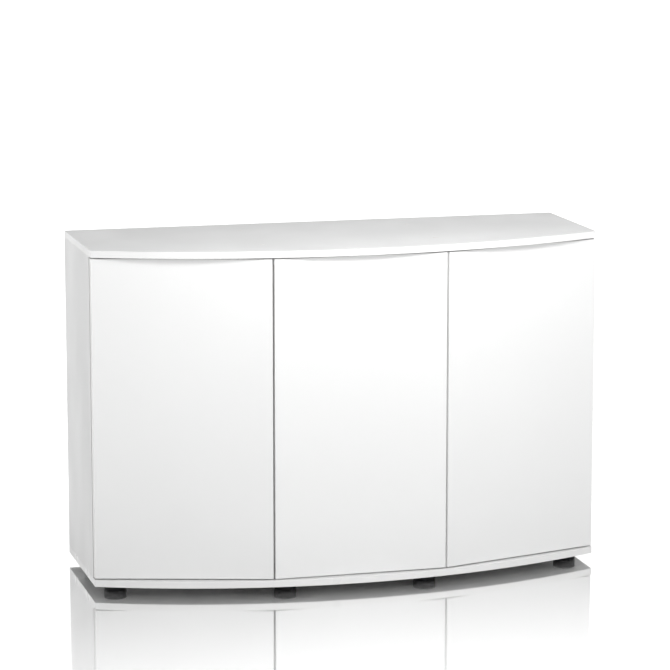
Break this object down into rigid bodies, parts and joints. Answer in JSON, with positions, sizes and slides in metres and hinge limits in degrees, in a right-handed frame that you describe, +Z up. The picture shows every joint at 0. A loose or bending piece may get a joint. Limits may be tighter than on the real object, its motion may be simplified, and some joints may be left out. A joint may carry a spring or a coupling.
{
  "type": "aquarium stand cabinet",
  "caption": "White bow-front aquarium cabinet with flat handle-less push-to-open doors, shelved side bays, an open-backed middle bay and round black glides.",
  "frame": {"origin": "middle of the footprint, on the floor", "axes": "+X to the right of someone facing the doors, -Y towards them, +Z up"},
  "size_m": [1.21, 0.46, 0.8],
  "materials": {
    "white_board": "satin white melamine on chipboard",
    "door_front": "smooth white lacquered front",
    "edge_band": "satin white edge band",
    "foot_plastic": "moulded black plastic",
    "cap_plastic": "white plastic cap",
    "grommet_plastic": "moulded white plastic",
    "latch_plastic": "moulded grey plastic",
    "plunger_plastic": "moulded light grey plastic",
    "beech": "plain fluted beech",
    "cast_zinc": "die-cast zinc",
    "pin_steel": "nickel-plated steel",
    "screw_steel": "zinc-plated steel",
    "hinge_steel": "nickel-plated pressed steel"
  },
  "bodies": {
    "carcass": {"back_dowels": "beech", "bottom_edge_band": "edge_band", "bottom_panel": "white_board", "cable_grommets": "grommet_plastic", "cam_bolts": "screw_steel", "cam_locks": "cast_zinc", "cover_caps": "cap_plastic", "feet": "foot_plastic", "foot_screws": "screw_steel", "hinge_arm_screws": "screw_steel", "hinge_plate_screws": "screw_steel", "latch_screws": "screw_steel", "left_back_panel": "white_board", "left_hinge_arms": "hinge_steel", "left_hinge_plates": "hinge_steel", "left_latch_housing": "latch_plastic", "left_partition": "white_board", "left_shelf": "white_board", "left_side_panel": "white_board", "lower_back_rail": "white_board", "middle_hinge_arms": "hinge_steel", "middle_hinge_plates": "hinge_steel", "middle_latch_housing": "latch_plastic", "right_back_panel": "white_board", "right_hinge_arms": "hinge_steel", "right_hinge_plates": "hinge_steel", "right_latch_housing": "latch_plastic", "right_partition": "white_board", "right_shelf": "white_board", "right_side_panel": "white_board", "shelf_pins": "pin_steel", "top_edge_band": "edge_band", "top_panel": "white_board", "top_screws": "screw_steel", "upper_back_rail": "white_board", "upright_dowels": "beech"},
    "left_door": {"left_door": "door_front", "left_hinge_cups": "hinge_steel", "left_hinge_pins": "pin_steel", "left_hinge_cup_screws": "screw_steel", "left_strike_plate": "pin_steel", "left_strike_screw": "screw_steel"},
    "left_latch_plunger": {"left_latch_plunger": "plunger_plastic"},
    "middle_door": {"middle_door": "door_front", "middle_hinge_cups": "hinge_steel", "middle_hinge_pins": "pin_steel", "middle_hinge_cup_screws": "screw_steel", "middle_strike_plate": "pin_steel", "middle_strike_screw": "screw_steel"},
    "middle_latch_plunger": {"middle_latch_plunger": "plunger_plastic"},
    "right_door": {"right_door": "door_front", "right_hinge_cups": "hinge_steel", "right_hinge_pins": "pin_steel", "right_hinge_cup_screws": "screw_steel", "right_strike_plate": "pin_steel", "right_strike_screw": "screw_steel"},
    "right_latch_plunger": {"right_latch_plunger": "plunger_plastic"}
  },
  "joints": [
    {"name": "left_door_swing", "type": "hinge", "parent": "carcass", "child": "left_door", "pos_m": [-0.59502, -0.09799, 0.4095], "axis": [0, 0, -1], "range_deg": [0, 95]},
    {"name": "middle_door_swing", "type": "hinge", "parent": "carcass", "child": "middle_door", "pos_m": [0.19653, -0.20734, 0.4095], "axis": [0, 0, 1], "range_deg": [0, 95]},
    {"name": "right_door_swing", "type": "hinge", "parent": "carcass", "child": "right_door", "pos_m": [0.59502, -0.09799, 0.4095], "axis": [0, 0, 1], "range_deg": [0, 95]},
    {"name": "left_latch_push", "type": "slide", "parent": "carcass", "child": "left_latch_plunger", "axis": [0, 1, 0], "range_m": [0, 0.0025], "stiffness_N_per_m": 400},
    {"name": "middle_latch_push", "type": "slide", "parent": "carcass", "child": "middle_latch_plunger", "axis": [0, 1, 0], "range_m": [0, 0.0025], "stiffness_N_per_m": 400},
    {"name": "right_latch_push", "type": "slide", "parent": "carcass", "child": "right_latch_plunger", "axis": [0, 1, 0], "range_m": [0, 0.0025], "stiffness_N_per_m": 400}
  ]
}
